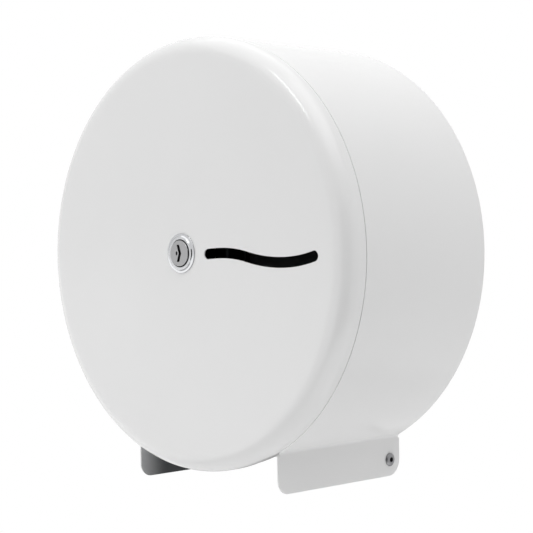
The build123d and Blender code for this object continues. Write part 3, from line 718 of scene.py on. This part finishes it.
section = [(BARREL_REAR, BORE_RADIUS), (BARREL_REAR, 8.6), (109.0, THREAD_ROOT)]
for turn in range(THREAD_TURNS):
    start = THREAD_START + turn * THREAD_PITCH
    section += [(start + 0.35, THREAD_CREST), (start + 0.5, THREAD_CREST),
                (start + 0.85, THREAD_ROOT)]
section += [(126.8, THREAD_CREST), (CAP_FACE, THREAD_CREST), (CAP_FACE, 11.8)]
section += [(128.6, FLANGE_RADIUS), (129.1, FLANGE_RADIUS)]
section += arc((129.05, 11.85), 0.15, 90, 20, 4)[1:]
section += [(129.24, 10.9), (129.26, 10.8), (129.8, 10.1)]
section += arc((129.7, 9.93), 0.2, 38, 0, 4)
section += arc((129.7, 8.65), 0.2, 0, -90, 4)
section += [(GAP_FLOOR, GAP_RADIUS), (GAP_FLOOR, BORE_RADIUS), (BARREL_REAR, BORE_RADIUS)]
lock_ring = turned("lock_ring", section, centre=LOCK_CENTRE, steps=LOCK_STEPS)
print("ring turned", len(lock_ring.data.polygons), "faces")

# %% Lock ring: flats, bare casting and painted gap shade
FLAT_BLOCK = (10 * MM, 21.9 * MM, 30 * MM)
FLAT_BLOCK_X = 13.2 * MM
FLAT_BLOCK_DEPTH = 117.5 * MM
GAP_TOP = 129.6

lock_ring.data.materials.append(chrome)
for side in (1, -1):
    middle = (LOCK_X + side * FLAT_BLOCK_X, -FLAT_BLOCK_DEPTH, LOCK_Z)
    cut(lock_ring, block("flat_cutter", FLAT_BLOCK, middle))
lock_ring.data.materials.append(dark_casting_and_gap_shade)
# Painted shade: faces in the gap round the plug get the dark casting colour; behind the cap it is
# the bare casting.
for face in lock_ring.data.polygons:
    from_axis = Vector((face.center.x - LOCK_X, face.center.z - LOCK_Z)).length
    painted_gap_shade = from_axis < GAP_RADIUS * MM + TOUCH and face.center.y > -GAP_TOP * MM
    face.material_index = 1 if painted_gap_shade or face.center.y > -FRONT_DEPTH + TOUCH else 0
stand_for(lock_ring, "cover", "lock_body")

# %% [markdown]
# ## Lock plug and keyway
# The plug turns inside the ring and stands a little proud of it. Its face is flat with a small
# rounding. The keyway is a zig-zag, made of two leaning steps from one short edge, with an oval
# notch beside its corner. Both are cut 9 mm deep, so that they look black from every side.

# %% Lock plug: turning
plug_section = [(107.9, 5.7), (108.2, 6.0), (129.1, 6.0), (129.1, 7.7), (129.3, 7.9), (130.3, 7.9)]
plug_section += arc((130.3, 7.6), 0.3, 90, 0, 4)[1:]
lock_plug = turned("plug_turned", plug_section, centre=LOCK_CENTRE, steps=LOCK_STEPS, filled=True)
lock_plug.data.materials.append(nickel)
print("plug turned", len(lock_plug.data.polygons), "faces")

# %% Lock plug: keyway and notch
KEYWAY_WIDTH = 2.2 * MM
KEYWAY_HALF_HEIGHT = 5.2 * MM
KEYWAY_SWING = 1.8 * MM
KEYWAY_DEPTH = 9.0 * MM
NOTCH_RADIUS = 0.75 * MM
NOTCH_OFFSET = 2.1 * MM
NOTCH_STRETCH = 1.7
PLUG_FACE_DEPTH = 130.6 * MM

keyway_top = LOCK_Z + KEYWAY_HALF_HEIGHT
keyway = begin("keyway_cutter", bpy.ops.mesh.primitive_plane_add, size=KEYWAY_WIDTH,
               rotation=FACING_USER, location=(
                   LOCK_X - KEYWAY_SWING / 2, -PLUG_FACE_DEPTH, keyway_top - KEYWAY_WIDTH / 2))
pick(keyway, "VERT", lambda place: place.z < keyway_top - TOUCH)
bpy.ops.mesh.delete(type="VERT")
pick(keyway, "EDGE")
push(x=KEYWAY_SWING, z=-KEYWAY_HALF_HEIGHT)
push(x=-KEYWAY_SWING, z=-KEYWAY_HALF_HEIGHT)
close_shell(keyway)
apply_modifier(keyway, "SOLIDIFY", thickness=2 * KEYWAY_DEPTH, offset=0)
cut(lock_plug, keyway)
cut(lock_plug, rod("notch_cutter", NOTCH_RADIUS, 2 * KEYWAY_DEPTH,
                   (LOCK_X - NOTCH_OFFSET, -PLUG_FACE_DEPTH, LOCK_Z), steps=32,
                   scale=(1, NOTCH_STRETCH, 1)))
print("plug with keyway", len(lock_plug.data.polygons), "faces")

# %% Lock plug: square end and screw hole
CAM_SQUARE = 7.0 * MM
SQUARE_LENGTH = 2.35 * MM
SQUARE_REAR_DEPTH = 106.05 * MM
SCREW_HOLE_RADIUS = 2.15 * MM
SCREW_HOLE_LENGTH = 16 * MM
SCREW_HOLE_MIDDLE = 106 * MM
PLUG_EDGE_ROUNDING = 0.06 * MM

square_end = block("square_end", (CAM_SQUARE, SQUARE_LENGTH, CAM_SQUARE),
                   (LOCK_X, -SQUARE_REAR_DEPTH - SQUARE_LENGTH / 2, LOCK_Z))
apply_modifier(lock_plug, "BOOLEAN", object=square_end, operation="UNION", solver="EXACT")
bpy.data.objects.remove(square_end)
cut(lock_plug, rod("screw_drill", SCREW_HOLE_RADIUS, SCREW_HOLE_LENGTH,
                   (LOCK_X, -SCREW_HOLE_MIDDLE, LOCK_Z), steps=32))
round_edges(lock_plug, PLUG_EDGE_ROUNDING)
stand_for(lock_plug, "lock", "lock_plug")

# %% [markdown]
# ## Hinge rivets
# Blind rivets hold the cover to the ears of the wall plate. Outside they show a low domed head
# with a dark hole, where the mandrel was pulled through and broke off. Inside the shank has
# bulged to a tail. One is turned on the axis, laid along X, then copied for the other flap.

# %% Hinge rivets
tail = [(56.4, 2.5), (56.6, 3.1), (57.2, 3.4), (57.9, 3.4), (58.3, 3.1)]
shank = [(58.3, 2.4), (62.1, 2.4)]
head = [(62.1, 4.1), (62.2, 4.2), (62.35, 4.2), (62.65, 4.0), (62.95, 3.65), (63.2, 3.25),
        (63.38, 2.8), (63.48, 2.3), (63.5, 1.8)]
hole = [(63.42, 1.55), (63.2, 1.5), (60.3, 1.5)]
rivet = turned("rivets_turned", tail + shank + head + hole, steps=64, filled=True)
select_only(rivet)
bpy.ops.object.mode_set(mode="EDIT")
pick(rivet, "VERT")
bpy.ops.mesh.duplicate()
bpy.ops.transform.resize(value=(1, -1, 1), center_override=(0, 0, 0))
bpy.ops.mesh.flip_normals()
pick(rivet, "VERT")
bpy.ops.transform.rotate(value=-pi / 2, orient_axis="Z", center_override=(0, 0, 0))
bpy.ops.transform.translate(value=(0, -HINGE_DEPTH, HINGE_Z))
bpy.ops.mesh.normals_make_consistent(inside=False)
bpy.ops.object.mode_set(mode="OBJECT")
rivet.data.materials.append(rivet_steel)
stand_for(rivet, "wall_unit", "hinge_rivets")

# %% [markdown]
# ## Inner works
# The wall plate, hub, keeper and the rest of the lock already have the right shape. A pressed or
# moulded piece has no knife edges, though, so a copy of each gets its loose corners merged, its
# flat facets joined and its edges rounded, and stands for the node. The wall plate's ears also
# get the flap's rounded rear corner, because none of the plate shows below it in the photo.

# %% Helpers for the inner works
EAR_CORNER_X = 58 * MM
EAR_CORNER_SIDE = 14 * MM
EAR_CORNER_RADIUS = 10.0 * MM
MERGE_WITHIN = 0.002 * MM
FLAT_WITHIN = radians(0.5)


def ear_corner_cutter(side):
    """What lies outside the flap's rounded rear corner, over one hinge ear."""
    x, y, z = side * EAR_CORNER_X, -FLAP_REAR_DEPTH - REAR_CORNER, FLAP_BOTTOM + REAR_CORNER
    corner = block("ear_corner", (EAR_CORNER_SIDE,) * 3,
                   (x, y + EAR_CORNER_SIDE / 2, z - EAR_CORNER_SIDE / 2))
    cut(corner, rod("kept_round", EAR_CORNER_RADIUS, 2 * EAR_CORNER_SIDE, (x, y, z), steps=96,
                    rotation=ALONG_X))
    return corner


def rounded_copy(node_name, body, width, cutters=()):
    """A copy of a CAD node with merged corners, joined flat facets and rounded edges."""
    piece = bpy.data.objects.new(node_name + "_rounded", nodes[node_name].data.copy())
    bpy.context.scene.collection.objects.link(piece)
    select_only(piece)
    bpy.ops.object.mode_set(mode="EDIT")
    bpy.ops.mesh.select_all(action="SELECT")
    bpy.ops.mesh.remove_doubles(threshold=MERGE_WITHIN)
    bpy.ops.mesh.dissolve_limited(angle_limit=FLAT_WITHIN)
    bpy.ops.object.mode_set(mode="OBJECT")
    for cutter in cutters:
        cut(piece, cutter)
    round_edges(piece, width)
    stand_for(piece, body, node_name)


# %% Round the edges of the inner works
ear_cutters = [ear_corner_cutter(side) for side in (1, -1)]
rounded_copy("back_plate", "wall_unit", 0.3 * MM, ear_cutters)
for node_name, body, width in (
    ("roll_hub", "hub", 0.35 * MM),
    ("retainer_disc", "wall_unit", 0.2 * MM),
    ("keeper_bracket", "wall_unit", 0.35 * MM),
    ("lock_nut", "cover", 0.35 * MM),
    ("lock_cam", "lock", 0.3 * MM),
    ("thrust_washer", "wall_unit", 0.3 * MM),
):
    rounded_copy(node_name, body, width)

# %% [markdown]
# ## Floor
# The dispenser hangs more than a metre above a pale matt floor, which is out of the picture but
# throws some light up from below and keeps the object's shadow.

# %% Floor
FLOOR_DROP = 1.3
FLOOR_RADIUS = 1.6
FLOOR_CLOUD = 0.4


def stage_material(name, roughness, spacing, detail, first, second):
    """A matt material whose tone wanders between two colours."""
    material, tree, shader, place = new_material(name, {"Roughness": roughness})
    dress(tree, shader, cloudy_tone(tree, place, spacing, detail, linear(first), linear(second))[1])
    return material


floor = begin("floor", bpy.ops.mesh.primitive_circle_add, vertices=96, radius=FLOOR_RADIUS,
              fill_type="NGON", location=(0, 0, -FLOOR_DROP))
bpy.ops.object.mode_set(mode="OBJECT")
floor.data.materials.append(
    stage_material("pale_floor", 0.8, FLOOR_CLOUD, 3.0, "#EDEDED", "#F2F2F2"))
print("floor at", -FLOOR_DROP, "m")

# %% [markdown]
# ## Dark cloths
# Behind the camera a studio is dark: the camera, its stand and whoever holds it. The rim of the
# cap and the chamfer of the lock face that way and mirror it, which draws the grey band down
# the right of the rim. A dark cloth behind the camera does the same. The photo's dispenser also
# seems to have stood on a table, in its own shadow, and the very bottom of the rim mirrors that
# shadow as a dark line. A second cloth stands low behind the drum for it. Neither is seen by
# the camera itself.

# %% Dark cloths
WEAVE_SPACING = 4 * MM
cloth_material = stage_material("dark_cloth", 0.9, WEAVE_SPACING, 2.0, "#161616", "#202020")


def dark_cloth(name, azimuth, distance, width, height, top):
    """An upright cloth facing the drum; azimuth 0 is straight in front of it."""
    cloth = begin(name, bpy.ops.mesh.primitive_plane_add, scale=(width, height, 1), size=1,
                  location=(distance * sin(azimuth), -distance * cos(azimuth), top - height / 2),
                  rotation=(pi / 2, 0, azimuth))
    bpy.ops.object.mode_set(mode="OBJECT")
    cloth.data.materials.append(cloth_material)
    cloth.visible_camera = False


dark_cloth("camera_side_cloth", CAMERA_AZIMUTH + radians(6), 1.25, 1.2, 1.3, 0.4)
dark_cloth("low_back_cloth", CAMERA_AZIMUTH + radians(172), 1.1, 0.9, 0.8, 0.02)
print("cloths behind the camera and low behind the drum")

# %% [markdown]
# ## White surroundings
# The picture's background is plain white. The world shows strength 1 to the camera and in
# reflections, and a lower strength to the surfaces it lights from above, so that the white coat
# doesn't clip. From below it lights them as strongly as a white table top would: in the photo
# the lower edge of the rim and the lower right of the drum are as light as the rest.

# %% World
AMBIENT = 0.42
AMBIENT_BELOW = 1.12
BELOW_FULL, BELOW_NONE = -0.5, 0.1

world = bpy.data.worlds.new("studio")
bpy.context.scene.world = world
world.use_nodes = True
world_tree = world.node_tree
world_tree.nodes.clear()
path = add_node(world_tree, "ShaderNodeLightPath")
seen = add_node(world_tree, "ShaderNodeMath", {"operation": "MAXIMUM"}, {
    0: path.outputs["Is Camera Ray"], 1: path.outputs["Is Glossy Ray"]})
seen = add_node(world_tree, "ShaderNodeMath", {"operation": "MAXIMUM"}, {
    0: seen.outputs[0], 1: path.outputs["Is Transmission Ray"]})
direction = add_node(world_tree, "ShaderNodeTexCoord")
height = add_node(world_tree, "ShaderNodeSeparateXYZ", inputs={
    "Vector": direction.outputs["Generated"]})
ambient = add_node(world_tree, "ShaderNodeMapRange", {"interpolation_type": "SMOOTHSTEP"}, {
    "Value": height.outputs["Z"], "From Min": BELOW_FULL, "From Max": BELOW_NONE,
    "To Min": AMBIENT_BELOW, "To Max": AMBIENT})
strength = add_node(world_tree, "ShaderNodeMapRange", inputs={
    "Value": seen.outputs[0], "To Min": ambient.outputs["Result"], "To Max": 1.0})
background = add_node(world_tree, "ShaderNodeBackground", inputs={
    "Color": (1, 1, 1, 1), "Strength": strength.outputs["Result"]})
add_node(world_tree, "ShaderNodeOutputWorld", inputs={"Surface": background.outputs[0]})
print("ambient", AMBIENT, "from below", AMBIENT_BELOW)

# %% [markdown]
# ## Soft boxes
# Most of the light comes from a broad soft lamp overhead. Weaker ones stand round the object,
# each aimed at the middle of the drum. They are wide rather than bright, so that the gloss of
# the coat shows no hard-edged windows and the flat lock mirrors no lamp. A narrow strip above in
# front mirrors in the rim as the short white streak.

# %% Lamps
DRUM_MIDDLE = Vector((0, -60 * MM, 0))


def soft_box(name, place, width, height, watts, roll=0.0):
    """A rectangular lamp aimed at the middle of the drum."""
    data = bpy.data.lights.new(name, "AREA")
    data.shape = "RECTANGLE"
    data.size = width
    data.size_y = height
    data.energy = watts
    lamp = bpy.data.objects.new(name, data)
    bpy.context.scene.collection.objects.link(lamp)
    lamp.location = place
    aim = (DRUM_MIDDLE - Vector(place)).to_track_quat("-Z", "Y").to_matrix()
    lamp.rotation_euler = (aim @ Matrix.Rotation(roll, 3, "Z")).to_euler()


soft_box("top_box", (0.0, -0.2, 1.8), 3.2, 3.2, 24.0)
soft_box("top_right_box", (0.8, -0.2, 1.4), 1.4, 1.4, 8.0)
soft_box("left_low_box", (-1.5, -1.2, -0.6), 2.6, 1.2, 6.0)
soft_box("front_low_box", (-0.3, -1.7, -0.75), 2.4, 1.0, 3.5)
soft_box("right_low_box", (0.8, -0.1, -1.0), 1.8, 0.8, 4.4)
soft_box("front_strip", (0.134, -0.911, 1.275), 0.60, 0.12, 2.6, roll=radians(-46))
print("lamps", len(bpy.data.lights))
